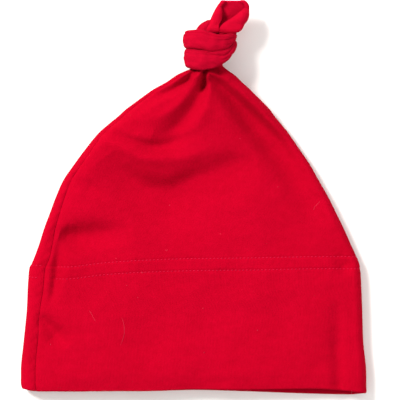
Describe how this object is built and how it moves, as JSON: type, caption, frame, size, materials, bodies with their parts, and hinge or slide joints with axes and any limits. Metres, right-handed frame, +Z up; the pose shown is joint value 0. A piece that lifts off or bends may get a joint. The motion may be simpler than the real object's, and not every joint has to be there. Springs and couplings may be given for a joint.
{
  "type": "knotted beanie",
  "caption": "Soft baby hat in red cotton jersey, lying flat, with a deep hem turned inside at the mouth and the crown gathered into a tied knot with a short free end.",
  "frame": {"origin": "middle of the hat's footprint, on the table", "axes": "+Y from the mouth to the knot, +Z up out of the front panel, +X to the viewer's right in the picture"},
  "size_m": [0.1692, 0.1924, 0.0219],
  "materials": {
    "jersey": "matte fine cotton jersey"
  },
  "bodies": {
    "root": {"front_panel": "jersey", "back_panel": "jersey", "knot_core": "jersey", "knot_turns": "jersey", "knot_tail": "jersey"}
  },
  "joints": []
}
